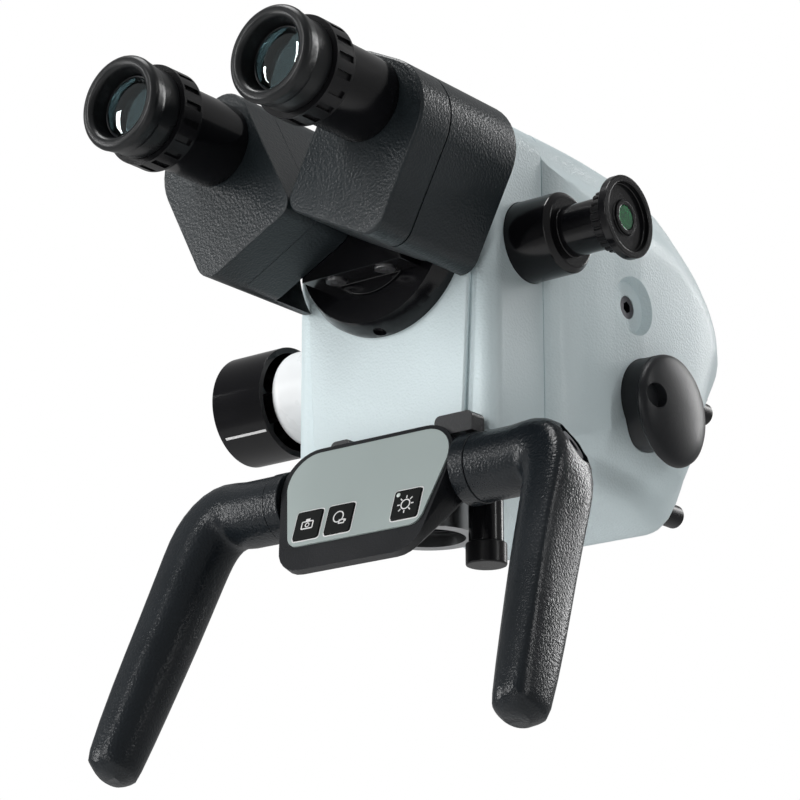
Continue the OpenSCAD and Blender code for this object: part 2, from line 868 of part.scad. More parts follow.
// magnification knob
boss_end = boss_seat_x - boss_length;
knob_gap = 1;
knob_start = boss_end - knob_gap;
knob_end = knob_start - knob_length;
knob_wall = 2.5;
hub_depth = 8;
hub_wall = 4;
hub_r = shaft_r + hub_wall;
boss_round = 6;
module knob_boss() {
  color("white")
  translate([boss_seat_x, -optic_forward, drum_height])
    rotate([0, -90, 0])
      rotate_extrude()
        polygon(concat([[shaft_r + turn_gap, 0], [boss_r, 0]],
          arc_points(boss_r - boss_round, boss_length - boss_round, boss_round, 0, 90, 8),
          [[shaft_r + turn_gap, boss_length]]));
}
module knob_sleeve() {
  color("black")
  at_optic(drum_height)
    difference() {
      rod_x(knob_r, knob_end, knob_start);
      difference() {
        rod_x(knob_r - knob_wall, knob_end + knob_wall, knob_start + overrun);
        rod_x(hub_r, knob_end, knob_end + knob_wall + hub_depth);
      }
      rod_x(shaft_r + seat_gap, knob_end + knob_wall, knob_start);
      rod_x(knob_r - knob_wall * 2, knob_end - overrun, knob_end + knob_wall / 2);
      rotate([index_turn, 0, 0])
        block(knob_end + knob_wall, knob_start - knob_wall / 2, -index_width / 2,
          index_width / 2, knob_r - index_depth, knob_r + overrun);
    }
}
index_turn = 133;
index_width = 1;
index_depth = 0.4;
module knob_index() {
  color("white")
  at_optic(drum_height)
    rotate([index_turn, 0, 0])
      block(knob_end + knob_wall, knob_start - knob_wall / 2, -index_width / 2,
        index_width / 2, knob_r - index_depth, knob_r + index_depth / 4);
}
drum_short = 0.5;
drum_half = tower_half - drum_short;
module knob_shaft() {
  color("silver")
  at_optic(drum_height)
    rod_x(shaft_r, knob_end + knob_wall, -drum_half);
}
module lens_drum() {
  color("dimgray")
  at_optic(drum_height)
    difference() {
      rod_x(lens_drum_r, -drum_half, drum_half);
      for (turn = [0:60:120])
        rotate([turn, 0, 0])
          for (side = [-1, 1])
            translate([side * channel_x, 0, 0])
              rod_z(channel_r - turn / 60, -lens_drum_r - overrun, lens_drum_r + overrun);
    }
}

// camera port
port_end = port_seat_x + port_length;
neck_end = port_end + neck_length;
port_ring_length = 6;
port_ring_r = 12;
module port_body() {
  color("black")
  at_optic(port_height)
    difference() {
      union() {
        rod_x(port_r, port_seat_x, port_end - wall / 2);
        translate([port_end - wall / 2, 0, 0])
          rotate([0, 90, 0])
            cylinder(r1 = port_r, r2 = port_r - wall / 2, h = wall / 2);
        rod_x(neck_r, port_end - overrun, neck_end);
      }
      rod_x(channel_r, port_seat_x - overrun, neck_end + overrun);
    }
}
notch_count = 24;
notch_r = 0.7;
module port_ring() {
  color("black")
  at_optic(port_height)
    difference() {
      rod_x(port_ring_r, neck_end - port_ring_length - face_gap, neck_end - face_gap);
      rod_x(neck_r + turn_gap, neck_end - port_ring_length * 2, neck_end);
      for (i = [0:notch_count - 1])
        rotate([i * 360 / notch_count, 0, 0])
          translate([0, port_ring_r, 0])
            rod_x(notch_r, neck_end - port_ring_length * 2, neck_end);
    }
}
flange_end = neck_end + flange_depth;
bezel_r = 6.8;
port_lens_r = 4.6;
module port_flange() {
  color("black")
  at_optic(port_height)
    difference() {
      union() {
        difference() {
          rod_x(flange_r, neck_end, flange_end);
          rod_x(socket_r, flange_end - socket_depth, flange_end + overrun);
        }
        rod_x(bezel_r, flange_end - socket_depth - overrun, flange_end - socket_depth / 2);
      }
      rod_x(port_lens_r + seat_gap, neck_end - overrun, flange_end);
    }
}
module port_lens() {
  color("mediumseagreen")
  at_optic(port_height)
    rod_x(port_lens_r, neck_end, flange_end - socket_depth * 0.7);
}

// friction knob on the tilt axis
collar_length = 12;
collar_end = collar_seat_x + collar_length;
disc_start = collar_end + face_gap;
disc_end = disc_start + disc_depth;
disc_lower = 4.5;
dimple_r = 5;
dimple_depth = 3;
dimple_forward = 16;
dimple_drop = 2.5;
module friction_collar() {
  color("black")
  difference() {
    rod_x(collar_r, collar_seat_x, collar_end);
    rod_x(stud_r + turn_gap, collar_seat_x - overrun, collar_end + overrun);
  }
}
module friction_disc() {
  color("black")
  difference() {
    translate([disc_start, 0, -disc_lower])
      rotate([0, 90, 0])
        rotate_extrude()
          polygon(concat([[0, 0], [disc_r * 0.93, 0], [disc_r, disc_depth * 0.2]],
            [for (i = [0:8]) let (a = 90 * i / 8)
              [disc_r * cos(a) * 0.995, disc_depth * (0.32 + 0.68 * sin(a))]]));
    rod_x(stud_r + seat_gap, disc_start - overrun, disc_start + disc_depth * 0.6);
    translate([0, -dimple_forward, -dimple_drop])
      rod_x(dimple_r, disc_end - disc_depth * 0.2 - dimple_depth, disc_end + overrun);
  }
}
module friction_stud() {
  color("silver")
  rod_x(stud_r, seat_half, disc_start + disc_depth * 0.6);
}

// objective
ring_overlap = 6;
barrel_end = objective_drop - ring_overlap;
lens_sink = 8;
lens_thick = 7;
lens_top = underside_seam - lens_sink;
lens_low = lens_top + lens_thick;
barrel_wall = 3;
objective_bore_r = objective_r - barrel_wall;
objective_ring_wall = 2.2;
objective_ring_r = objective_r + objective_ring_wall;
ring_room = 6;
objective_ring_top = underside_seam + ring_room;
lens_ledge = 1.5;
module objective_barrel() {
  color("black")
  at_optic(0)
    difference() {
      rod_z(objective_r, -barrel_end, -objective_top);
      rod_z(objective_bore_r, -barrel_end - overrun, -lens_top);
      rod_z(objective_bore_r - lens_ledge, -barrel_end, -objective_top + overrun);
    }
}
module objective_lens() {
  color("lightblue")
  at_optic(0)
    rod_z(objective_bore_r - seat_gap, -lens_low, -lens_top);
}
lug_count_shares = [-0.9, 0.9];
lug_reach = 3;
lug_half = 3.5;
lug_height = 4;
lug_spread = 30;
module objective_ring() {
  color("silver")
  at_optic(0)
    difference() {
      union() {
        rod_z(objective_ring_r, -objective_drop, -objective_ring_top);
        for (share = lug_count_shares)
          rotate([0, 0, share * lug_spread])
            block(-lug_half, lug_half, -objective_ring_r - lug_reach,
              -objective_ring_r + lug_reach / 2, -objective_drop, -objective_drop + lug_height);
      }
      rod_z(objective_r + turn_gap, -objective_drop + lug_height, -objective_ring_top + overrun);
      rod_z(objective_bore_r, -objective_drop - overrun, -objective_ring_top);
    }
}

// lower knob
stem_top = lower_boss_drop + face_gap;
stem_length = 24.5;
cap_length = 8.7;
stem_low = stem_top + stem_length;
cap_low = stem_low + cap_length;
module lower_knob_stem() {
  color("black")
  translate([lower_knob_x, -lower_knob_forward, 0]) {
    rod_z(stem_r, -stem_low, -stem_top);
    rod_z(pin_r, -stem_top - overrun, -underside_front - wall);
  }
}
module lower_knob_cap() {
  color("black")
  translate([lower_knob_x, -lower_knob_forward, 0])
    rod_z(cap_r, -cap_low, -stem_low);
}

// control unit
body_thick = 3.5;
membrane_thick = 0.8;
core_r = 8;
core_offset = 1;
core_forward = axle_forward + core_offset;
core_drop = axle_drop + core_offset;
rim = 2.4;
core_half = membrane_top_width / 2 + rim;
grip_collar_r = 13.5;
grip_collar_length = 6.9;
grip_start = core_half + seat_gap + grip_collar_length + face_gap;
corner_big = 13;
corner_small = 6;
membrane_round = [corner_big, corner_small];
module at_face() {
  translate([0, -face_forward, -face_drop])
    rotate([90 - face_lean, 0, 0]) children();
}
edge_turn = 8;
membrane_lift = 3.7;
membrane_shift = 1.2;
face_sill = 8;
function face_outline(grow, sill) =
  let (tw = membrane_top_width / 2 + grow, bw = membrane_bottom_width / 2 + grow,
    top = membrane_lift + membrane_height / 2 + grow,
    low = membrane_lift - membrane_height / 2 - grow - sill,
    ru = corner_big + grow, rl = corner_small + grow + sill / 2,
    half = concat(arc_points(bw - rl, low + rl, rl, -90, -edge_turn, 6),
      arc_points(tw - ru, top - ru, ru, -edge_turn, 90, 10)))
  concat(half, other_half(half));
bracket_top = underside_front + face_gap;
bracket_low = axle_drop;
module bracket_block() {
  block(-bracket_half, bracket_half, -axle_forward - axle_r, -bracket_rear,
    -bracket_low, -bracket_top);
}
module control_bracket() {
  color("dimgray")
  difference() {
    bracket_block();
    casing_form(0);
    translate([0, -axle_forward, -axle_drop])
      rod_x(axle_r + seat_gap, -bracket_half - overrun, bracket_half + overrun);
  }
}
key_pocket = key_side + face_gap * 2;
key_round = 1.2;
key_height = 1.5;
key_seat = 1.6;
key_photo_shares = [-0.335, -0.205];
key_record_shares = [-0.1, -0.205];
key_light_shares = [0.385, -0.19];
function face_place(shares) =
  [membrane_bottom_width * shares[0], membrane_height * shares[1]];
key_photo_place = face_place(key_photo_shares);
key_record_place = face_place(key_record_shares);
key_light_place = face_place(key_light_shares);
module key_outline(side) {
  q = side / 2 - key_round;
  polygon(concat(arc_points(q, q, key_round, 0, 90, 4), arc_points(-q, q, key_round, 90, 180, 4),
    arc_points(-q, -q, key_round, 180, 270, 4), arc_points(q, -q, key_round, 270, 360, 4)));
}
front_lug_from = -21;
front_lug_to = -11;
side_lug_from = 29;
side_lug_to = 46.5;
lug_root = 3.6;
lug_low = underside_front + lug_root;
front_lug_rise = 3.2;
side_lug_rise = 4.2;
lug_round = 2.4;
lug_seat = casing_forward + panel_rise + seat_gap;
lug_thick = axle_forward + axle_r - lug_seat;
module body_lug(from, to, rise) {
  along_y(-lug_seat - lug_thick, -lug_seat)
    polygon(concat([[from, -lug_low], [to, -lug_low]],
      arc_points(to - lug_round, rise - underside_front - lug_round, lug_round, 0, 90, 4),
      arc_points(from + lug_round, rise - underside_front - lug_round, lug_round, 90, 180, 4)));
}
module control_body() {
  color("black")
  difference() {
    union() {
      hull() {
        at_face()
          translate([0, 0, -body_thick])
            linear_extrude(body_thick) polygon(face_outline(rim, face_sill));
        translate([0, -core_forward, -core_drop])
          rod_x(core_r, -core_half, core_half, $fn = 40);
      }
      body_lug(front_lug_from, front_lug_to, front_lug_rise);
      body_lug(side_lug_from, side_lug_to, side_lug_rise);
    }
    bracket_block();
    translate([0, -axle_forward, -axle_drop])
      rod_x(axle_r + seat_gap, -core_half - overrun, core_half + overrun);
    at_face()
      for (place = [key_photo_place, key_record_place, key_light_place])
        translate([place[0], place[1], -key_seat])
          linear_extrude(key_seat + overrun) key_outline(key_pocket);
  }
}
module control_membrane() {
  color("darkseagreen")
  at_face()
    difference() {
      translate([membrane_shift, 0, 0])
        linear_extrude(membrane_thick) polygon(face_outline(0, 0));
      for (place = [key_photo_place, key_record_place, key_light_place])
        translate([place[0], place[1], -overrun])
          linear_extrude(membrane_thick + overrun * 2) key_outline(key_pocket);
    }
}
module face_key(place) {
  color("black")
  at_face()
    translate([place[0], place[1], -key_seat + key_travel + face_gap])
      linear_extrude(key_seat - key_travel - face_gap + key_height) key_outline(key_side);
}
module key_photo() {
  face_key(key_photo_place);
}
module key_record() {
  face_key(key_record_place);
}
module key_light() {
  face_key(key_light_place);
}

// grips
axle_reach = 20;
axle_half = grip_start + axle_reach;
module at_axle(swing) {
  translate([0, -axle_forward, -axle_drop])
    rotate([-swing, 0, 0]) children();
}
module grip_axle() {
  color("silver")
  at_axle(0)
    rod_x(axle_r, -axle_half, axle_half);
}
module grip_collars() {
  color("black")
  for (side = [-1, 1])
    side_half(side)
      at_axle(0)
        difference() {
          rod_x(grip_collar_r, core_half + seat_gap, core_half + seat_gap + grip_collar_length);
          rod_x(axle_r + seat_gap, core_half, grip_start);
        }
}
elbow_reach = 36;
elbow_x = grip_start + elbow_reach;
// path of a grip: place outward and place down, as shares of the elbow reach and the length
grip_path_shares = [
  [0, 0, 0], [0.45, 0, 0], [0.66, -0.004, 12], [0.83, 0.02, 33], [0.94, 0.075, 56],
  [0.995, 0.15, 75], [1.03, 0.27, 83], [1.085, 0.45, 84.5], [1.18, 0.7, 84.5],
  [1.265, 0.93, 84.5], [1.28, 0.975, 84.5], [1.29, 1, 84.5]
];
// half width, half depth and squareness of the outer face along the path
grip_size_shares = [
  [1, 1, 1], [1, 1, 1], [1.02, 1.02, 0.85], [1.04, 1.02, 0.6], [1.05, 1.04, 0.4],
  [1.04, 1.05, 0.28], [1, 1.05, 0.24], [0.97, 1.02, 0.24], [0.93, 0.97, 0.3], [0.86, 0.88, 0.45],
  [0.74, 0.76, 0.7], [0.42, 0.45, 0.9]
];
blend_shares = [0, 0, 0.1, 0.35, 0.7, 0.9, 1, 1, 1, 1, 1, 1];
grip_points = 28;
function sign_of(v) = v < 0 ? -1 : 1;
grip_stations = smooth_run([for (k = [0:len(grip_path_shares) - 1])
  concat(grip_path_shares[k], grip_size_shares[k], [blend_shares[k]])], 2);
function grip_ring(g) =
  let (b = g[6], e = min(g[5], 1),
    cx = grip_start + g[0] * elbow_reach, cz = -g[1] * grip_length,
    hw = (arm_r * (1 - b) + grip_half_width * b) * g[3],
    hd = (arm_r * (1 - b) + grip_half_depth * b) * g[4])
  [for (i = [0:grip_points - 1]) let (a = 360 * i / grip_points, c = cos(a), d = sin(a),
      w = hw * sign_of(c) * pow(abs(c), c > 0 ? e : 1),
      v = hd * sign_of(d) * pow(abs(d), c > 0 ? (1 + e) / 2 : 1))
    [cx + w * sin(g[2]), -v, cz + w * cos(g[2])]];
screw_seat_r = 8.6;
grip_screw_r = 6;
screw_lean = 32;
screw_reach = elbow_x + arm_r;
screw_gap = 1;
module grip(side, swing) {
  color("black")
  side_half(side)
    at_axle(swing)
      difference() {
        loft([for (g = grip_stations) grip_ring(g)]);
        rod_x(axle_r + turn_gap, grip_start - overrun, axle_half + overrun);
        translate([elbow_x, 0, 0])
          rotate([0, -screw_lean, 0])
            rod_x(screw_seat_r, screw_gap, screw_reach);
      }
}
module right_grip() {
  grip(1, right_swing);
}
module left_grip() {
  grip(-1, left_swing);
}
module grip_screw(side, swing) {
  color("dimgray")
  side_half(side)
    at_axle(swing)
      translate([elbow_x, 0, 0])
        rotate([0, -screw_lean, 0])
          difference() {
            rod_x(grip_screw_r, screw_gap, wall);
            rod_x(grip_screw_r * 0.5, screw_gap * 2, wall + overrun, $fn = 6);
          }
}
module right_grip_screw() {
  grip_screw(1, right_swing);
}
module left_grip_screw() {
  grip_screw(-1, left_swing);
}

// what is drawn
front_casing();
front_panel();
rear_casing();
right_shell();
left_shell();
chassis();
tilt_sleeve();
optics_tower();
beam_prism();
lamp_heatsink();
rear_panel();
rear_connectors();
shell_screws();
mount_ring();
ring_screw();
binocular_base();
base_screws();
right_prism_cover();
right_prism_housing();
right_prism();
right_tube();
right_dioptre_ring();
right_eyecup();
right_eye_lens();
left_prism_cover();
left_prism_housing();
left_prism();
left_tube();
left_dioptre_ring();
left_eyecup();
left_eye_lens();
knob_boss();
knob_sleeve();
knob_index();
knob_shaft();
lens_drum();
port_body();
port_ring();
port_flange();
port_lens();
friction_collar();
friction_disc();
friction_stud();
objective_barrel();
objective_ring();
objective_lens();
lower_knob_stem();
lower_knob_cap();
control_bracket();
control_body();
control_membrane();
key_photo();
key_record();
key_light();
grip_axle();
grip_collars();
right_grip();
left_grip();
right_grip_screw();
left_grip_screw();
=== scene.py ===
import json
from math import cos, pi, radians, sin

import bmesh
import bpy
from mathutils import Matrix, Vector


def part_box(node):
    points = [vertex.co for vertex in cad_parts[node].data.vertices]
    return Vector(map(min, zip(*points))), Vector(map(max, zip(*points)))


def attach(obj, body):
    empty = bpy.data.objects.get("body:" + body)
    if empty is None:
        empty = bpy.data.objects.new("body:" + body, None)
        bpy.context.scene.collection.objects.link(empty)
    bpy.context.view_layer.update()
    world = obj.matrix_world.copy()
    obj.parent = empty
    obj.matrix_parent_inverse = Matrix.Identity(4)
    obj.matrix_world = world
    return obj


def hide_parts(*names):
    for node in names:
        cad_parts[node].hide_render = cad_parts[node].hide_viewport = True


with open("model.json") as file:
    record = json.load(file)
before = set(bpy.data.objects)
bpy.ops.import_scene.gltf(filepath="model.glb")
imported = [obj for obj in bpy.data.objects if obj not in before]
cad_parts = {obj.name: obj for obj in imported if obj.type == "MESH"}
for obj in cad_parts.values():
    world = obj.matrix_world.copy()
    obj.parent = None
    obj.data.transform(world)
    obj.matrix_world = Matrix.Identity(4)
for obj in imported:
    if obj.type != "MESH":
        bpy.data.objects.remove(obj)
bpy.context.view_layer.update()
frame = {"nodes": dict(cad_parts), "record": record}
MM = 0.001

body_of_node = {
    node: body
    for body, nodes in frame["record"]["behaviour"]["bodies"].items()
    for node in nodes
}


# Camera, at the angle of the photograph

PHOTO_PLACE = (0.6579, -0.9252, -0.3334)
PHOTO_TURN = 38
PHOTO_RISE = -17
PHOTO_LENS = 130.5
SENSOR_WIDTH = 36
NEAREST_SEEN = 0.05


def place_camera():
    turn, rise = radians(PHOTO_TURN), radians(PHOTO_RISE)
    ahead = Vector((-sin(turn) * cos(rise), cos(turn) * cos(rise), -sin(rise)))
    right = Vector((cos(turn), sin(turn), 0))
    up = right.cross(ahead)
    lens = bpy.data.cameras.new("photo_camera")
    lens.lens = PHOTO_LENS
    lens.sensor_width = SENSOR_WIDTH
    lens.clip_start = NEAREST_SEEN
    camera = bpy.data.objects.new("photo_camera", lens)
    bpy.context.scene.collection.objects.link(camera)
    pose = Matrix((right, up, -ahead)).transposed().to_4x4()
    pose.translation = PHOTO_PLACE
    camera.matrix_world = pose
    bpy.context.scene.camera = camera


# Room: white surround, pale floor and soft boxes

FLOOR_LEVEL = -1.0
FLOOR_REACH = 12
FLOOR_WHITE = 0.86
FLOOR_ROUGHNESS = 0.9
FLOOR_GLOW = 0.95
SURROUND_LIGHT = 0.12
MIRRORED_SHARE = 0.25
LAMP_TARGET = (0, -0.05, 0)
# name, place, width, height, power
LAMPS = (
    ("key_strip", (-0.45, -1.7, 0.55), 0.12, 1.0, 11),
    ("front_low", (0.45, -1.9, -0.35), 0.15, 1.2, 4),
    ("left_soft", (-1.3, -1.2, 0.1), 0.15, 1.2, 12),
    ("top_soft", (-0.3, -0.4, 1.7), 0.6, 0.9, 20),
    ("rear_right", (0.45, 1.5, 0.7), 0.4, 0.9, 10),
    ("right_edge", (1.3, 0.2, 0.6), 0.08, 1.0, 4),
)


def looked_at(nodes, links):
    """1 for a ray from the camera or through glass, a share in a reflection, 0 for lighting."""
    seen = nodes.new("ShaderNodeLightPath")
    either = nodes.new("ShaderNodeMath")
    either.operation = "MAXIMUM"
    any_view = nodes.new("ShaderNodeMath")
    any_view.operation = "MAXIMUM"
    links.new(seen.outputs["Is Camera Ray"], either.inputs[0])
    links.new(seen.outputs["Is Transmission Ray"], either.inputs[1])
    mirrored = nodes.new("ShaderNodeMath")
    mirrored.operation = "MULTIPLY"
    mirrored.inputs[1].default_value = MIRRORED_SHARE
    links.new(seen.outputs["Is Glossy Ray"], mirrored.inputs[0])
    links.new(either.outputs[0], any_view.inputs[0])
    links.new(mirrored.outputs[0], any_view.inputs[1])
    return any_view.outputs[0]


def light_world():
    world = bpy.data.worlds.new("white_studio")
    bpy.context.scene.world = world
    world.use_nodes = True
    nodes, links = world.node_tree.nodes, world.node_tree.links
    nodes.clear()
    strength = nodes.new("ShaderNodeMapRange")
    strength.inputs["To Min"].default_value = SURROUND_LIGHT
    strength.inputs["To Max"].default_value = 1.0
    back = nodes.new("ShaderNodeBackground")
    back.inputs["Color"].default_value = (1, 1, 1, 1)
    out = nodes.new("ShaderNodeOutputWorld")
    links.new(looked_at(nodes, links), strength.inputs["Value"])
    links.new(strength.outputs["Result"], back.inputs["Strength"])
    links.new(back.outputs["Background"], out.inputs["Surface"])


def soft_box(name, place, width, height, power):
    lamp = bpy.data.lights.new(name, "AREA")
    lamp.shape = "RECTANGLE"
    lamp.size = width
    lamp.size_y = height
    lamp.energy = power
    holder = bpy.data.objects.new(name, lamp)
    bpy.context.scene.collection.objects.link(holder)
    aim = Vector(LAMP_TARGET) - Vector(place)
    turn = aim.to_track_quat("-Z", "Y").to_matrix().to_4x4()
    holder.matrix_world = Matrix.Translation(place) @ turn


def lay_floor():
    build = bmesh.new()
    bmesh.ops.create_grid(build, x_segments=1, y_segments=1, size=FLOOR_REACH)
    bmesh.ops.translate(build, verts=build.verts, vec=(0, 0, FLOOR_LEVEL))
    mesh = bpy.data.meshes.new("floor")
    build.to_mesh(mesh)
    build.free()
    floor = bpy.data.objects.new("floor", mesh)
    bpy.context.scene.collection.objects.link(floor)
    paint = bpy.data.materials.new("floor_white")
    paint.use_nodes = True
    shader = paint.node_tree.nodes["Principled BSDF"]
    shader.inputs["Base Color"].default_value = (FLOOR_WHITE, FLOOR_WHITE, FLOOR_WHITE, 1)
    shader.inputs["Roughness"].default_value = FLOOR_ROUGHNESS
    shader.inputs["Emission Color"].default_value = (1, 1, 1, 1)
    nodes, links = paint.node_tree.nodes, paint.node_tree.links
    glow = nodes.new("ShaderNodeMapRange")
    glow.inputs["To Max"].default_value = FLOOR_GLOW
    links.new(looked_at(nodes, links), glow.inputs["Value"])
    links.new(glow.outputs["Result"], shader.inputs["Emission Strength"])
    mesh.materials.append(paint)


# Effects that several finishes share

PEBBLE_SOFTNESS = 0.6
FUZZ_DETAIL = 3
FUZZ_SHARE = 0.4
PATCH_DETAIL = 4
# the slow noise seldom leaves these two levels, so gloss is spread between them
PATCH_LOW = 0.3
PATCH_HIGH = 0.7


def group_socket(group, name, kind, side, value=None):
    socket = group.interface.new_socket(name, in_out=side, socket_type=kind)
    if value is not None:
        socket.default_value = value


def make_grain_group():
    """Fine pebbled grain for bump, with a slow mottle for colour and gloss."""
    group = bpy.data.node_groups.new("pebbled_grain", "ShaderNodeTree")
    group_socket(group, "Grain", "NodeSocketFloat", "INPUT", 900.0)
    group_socket(group, "Mottle", "NodeSocketFloat", "INPUT", 30.0)
    group_socket(group, "Height", "NodeSocketFloat", "OUTPUT")
    group_socket(group, "Patches", "NodeSocketFloat", "OUTPUT")
    nodes, links = group.nodes, group.links
    start = nodes.new("NodeGroupInput")
    end = nodes.new("NodeGroupOutput")
    where = nodes.new("ShaderNodeTexCoord")
    pebbles = nodes.new("ShaderNodeTexVoronoi")
    pebbles.feature = "SMOOTH_F1"
    pebbles.inputs["Smoothness"].default_value = PEBBLE_SOFTNESS
    fuzz = nodes.new("ShaderNodeTexNoise")
    fuzz.inputs["Detail"].default_value = FUZZ_DETAIL
    patches = nodes.new("ShaderNodeTexNoise")
    patches.inputs["Detail"].default_value = PATCH_DETAIL
    blend = nodes.new("ShaderNodeMix")
    blend.inputs["Factor"].default_value = FUZZ_SHARE
    for texture in (pebbles, fuzz, patches):
        links.new(where.outputs["Object"], texture.inputs["Vector"])
    links.new(start.outputs["Grain"], pebbles.inputs["Scale"])
    links.new(start.outputs["Grain"], fuzz.inputs["Scale"])
    links.new(start.outputs["Mottle"], patches.inputs["Scale"])
    links.new(pebbles.outputs["Distance"], blend.inputs["A"])
    links.new(fuzz.outputs["Fac"], blend.inputs["B"])
    links.new(blend.outputs["Result"], end.inputs["Height"])
    links.new(patches.outputs["Fac"], end.inputs["Patches"])
    return group


GRAIN = make_grain_group()
COAT_ROUGHNESS = 0.08
LEAST_ROUGHNESS = 0.02
GLASS_BENDING = 1.5
GLASS_COAT = 0.6
GLASS_COAT_TINT = (0.8, 0.97, 1.0, 1)
GLASS_MOTTLE = 60.0
GLASS_DARK_SHARE = 0.9
GLASS_ROUGH_SHIFT = 0.02


def finish_of(name, colour, rough, grain=900.0, depth=0.02, shift=0.15, rough_shift=0.06,
              metallic=0.0, coat=0.0, specular=0.5, mottle=30.0):
    """An opaque finish: grain in the bump, a slow mottle in colour and gloss."""
    paint = bpy.data.materials.new(name)
    paint.use_nodes = True
    nodes, links = paint.node_tree.nodes, paint.node_tree.links
    shader = nodes["Principled BSDF"]
    shader.inputs["Metallic"].default_value = metallic
    shader.inputs["Coat Weight"].default_value = coat
    shader.inputs["Coat Roughness"].default_value = COAT_ROUGHNESS
    shader.inputs["Specular IOR Level"].default_value = specular
    surface = nodes.new("ShaderNodeGroup")
    surface.node_tree = GRAIN
    surface.inputs["Grain"].default_value = grain
    surface.inputs["Mottle"].default_value = mottle
    tone = nodes.new("ShaderNodeMix")
    tone.data_type = "RGBA"
    dark = [c * (1 - shift) for c in colour]
    light = [min(c * (1 + shift), 1) for c in colour]
    tone.inputs["A"].default_value = (*dark, 1)
    tone.inputs["B"].default_value = (*light, 1)
    gloss = nodes.new("ShaderNodeMapRange")
    gloss.inputs["From Min"].default_value = PATCH_LOW
    gloss.inputs["From Max"].default_value = PATCH_HIGH
    gloss.inputs["To Min"].default_value = max(rough - rough_shift, LEAST_ROUGHNESS)
    gloss.inputs["To Max"].default_value = rough + rough_shift
    relief = nodes.new("ShaderNodeBump")
    relief.inputs["Strength"].default_value = 1.0
    relief.inputs["Distance"].default_value = depth * MM
    links.new(surface.outputs["Patches"], tone.inputs["Factor"])
    links.new(surface.outputs["Patches"], gloss.inputs["Value"])
    links.new(surface.outputs["Height"], relief.inputs["Height"])
    links.new(tone.outputs["Result"], shader.inputs["Base Color"])
    links.new(gloss.outputs["Result"], shader.inputs["Roughness"])
    links.new(relief.outputs["Normal"], shader.inputs["Normal"])
    return paint


def glass_of(name, colour, rough):
    """Clear coloured glass with the faint tint of a lens coating."""
    glass = bpy.data.materials.new(name)
    glass.use_nodes = True
    nodes, links = glass.node_tree.nodes, glass.node_tree.links
    shader = nodes["Principled BSDF"]
    shader.inputs["Transmission Weight"].default_value = 1.0
    shader.inputs["IOR"].default_value = GLASS_BENDING
    shader.inputs["Coat Weight"].default_value = GLASS_COAT
    shader.inputs["Coat Tint"].default_value = GLASS_COAT_TINT
    surface = nodes.new("ShaderNodeGroup")
    surface.node_tree = GRAIN
    surface.inputs["Grain"].default_value = GLASS_MOTTLE
    tone = nodes.new("ShaderNodeMix")
    tone.data_type = "RGBA"
    tone.inputs["A"].default_value = (*[c * GLASS_DARK_SHARE for c in colour], 1)
    tone.inputs["B"].default_value = (*colour, 1)
    gloss = nodes.new("ShaderNodeMapRange")
    gloss.inputs["To Min"].default_value = rough
    gloss.inputs["To Max"].default_value = rough + GLASS_ROUGH_SHIFT
    links.new(surface.outputs["Patches"], tone.inputs["Factor"])
    links.new(surface.outputs["Patches"], gloss.inputs["Value"])
    links.new(tone.outputs["Result"], shader.inputs["Base Color"])
    links.new(gloss.outputs["Result"], shader.inputs["Roughness"])
    return glass


HOUSING_PAINT = finish_of("housing_paint", (0.69, 0.80, 0.825), 0.45, grain=1000, depth=0.2,
                          shift=0.02, coat=0.05)
BOSS_WHITE = finish_of("boss_white", (0.84, 0.86, 0.87), 0.3, grain=600, depth=0.004, shift=0.015)
BOX_BLACK = finish_of("box_black", (0.013, 0.018, 0.021), 0.36, grain=1000, depth=0.2,
                      shift=0.2, specular=0.35)
GLOSS_BLACK = finish_of("gloss_black", (0.004, 0.004, 0.005), 0.17, grain=500, depth=0.002,
                        shift=0.2, rough_shift=0.03, specular=0.3)
KNOB_BLACK = finish_of("knob_black", (0.007, 0.007, 0.008), 0.28, grain=700, depth=0.004,
                       shift=0.2, rough_shift=0.04, specular=0.22)
MIRROR_BLACK = finish_of("mirror_black", (0.003, 0.003, 0.004), 0.06, grain=400, depth=0.001,
                         shift=0.2, rough_shift=0.02, specular=0.2)
SATIN_BLACK = finish_of("satin_black", (0.014, 0.015, 0.017), 0.38, grain=1200, depth=0.02,
                        specular=0.22)
RUBBER_BLACK = finish_of("rubber_black", (0.009, 0.010, 0.011), 0.32, grain=1800, depth=0.01,
                         specular=0.28)
GRIP_BLACK = finish_of("grip_black", (0.008, 0.011, 0.014), 0.28, grain=1000, depth=0.2,
                       shift=0.25, specular=0.28)
CONTROL_BLACK = finish_of("control_black", (0.012, 0.013, 0.015), 0.3, grain=1400, depth=0.08,
                          specular=0.3)
KEY_BLACK = finish_of("key_black", (0.006, 0.007, 0.007), 0.45, grain=1800, depth=0.008,
                      specular=0.12)
MEMBRANE_GREY = finish_of("membrane_grey", (0.36, 0.42, 0.41), 0.5, grain=2200, depth=0.012,
                          shift=0.03)
LINE_WHITE = finish_of("line_white", (0.8, 0.8, 0.8), 0.4, grain=900, depth=0.002, shift=0.02)
PALE_LAMP = finish_of("pale_lamp", (0.72, 0.80, 0.76), 0.2, grain=600, depth=0.002, shift=0.03)
TURNED_STEEL = finish_of("turned_steel", (0.55, 0.55, 0.56), 0.3, grain=1800, depth=0.004,
                         metallic=1.0)
DARK_STEEL = finish_of("dark_steel", (0.10, 0.10, 0.11), 0.32, grain=1800, depth=0.004,
                       metallic=1.0)
BARE_ALLOY = finish_of("bare_alloy", (0.50, 0.51, 0.52), 0.58, grain=1500, depth=0.006,
                       metallic=1.0)
DARK_ALLOY = finish_of("dark_alloy", (0.03, 0.03, 0.034), 0.38, grain=1600, depth=0.006,
                       metallic=0.5)
RING_ALLOY = finish_of("ring_alloy", (0.42, 0.43, 0.44), 0.3, grain=1600, depth=0.006,
                       metallic=1.0)
